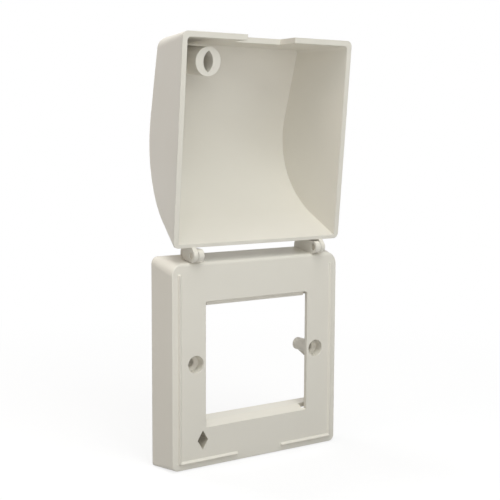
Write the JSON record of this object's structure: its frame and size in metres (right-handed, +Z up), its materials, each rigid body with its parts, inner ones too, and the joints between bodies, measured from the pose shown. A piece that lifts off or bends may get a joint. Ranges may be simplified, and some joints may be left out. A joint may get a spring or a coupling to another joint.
{
  "type": "hooded wall faceplate",
  "caption": "Square wall faceplate with a module opening and a deep hinged hood that closes and locks over it, leaving a notch for the cable.",
  "frame": {"origin": "midway between the two fixing holes, on the wall plane", "axes": "+X right seen from the front, +Y into the wall, +Z up; the face looks along -Y and the open hood stands above"},
  "size_m": [0.086, 0.0393, 0.1734],
  "materials": {
    "plate_plastic": "warm ivory moulded, fine satin",
    "hood_plastic": "warm ivory moulded, fine satin",
    "pin_plastic": "ivory moulded, smooth"
  },
  "bodies": {
    "plate": {"base_frame": "plate_plastic"},
    "hood": {"hood_lid": "hood_plastic", "hinge_pin_left": "pin_plastic", "hinge_pin_right": "pin_plastic"}
  },
  "joints": [
    {"name": "hood_hinge", "type": "hinge", "parent": "plate", "child": "hood", "pos_m": [0, -0.01335, 0.044], "axis": [1, 0, 0], "range_deg": [0, 174.72]}
  ]
}
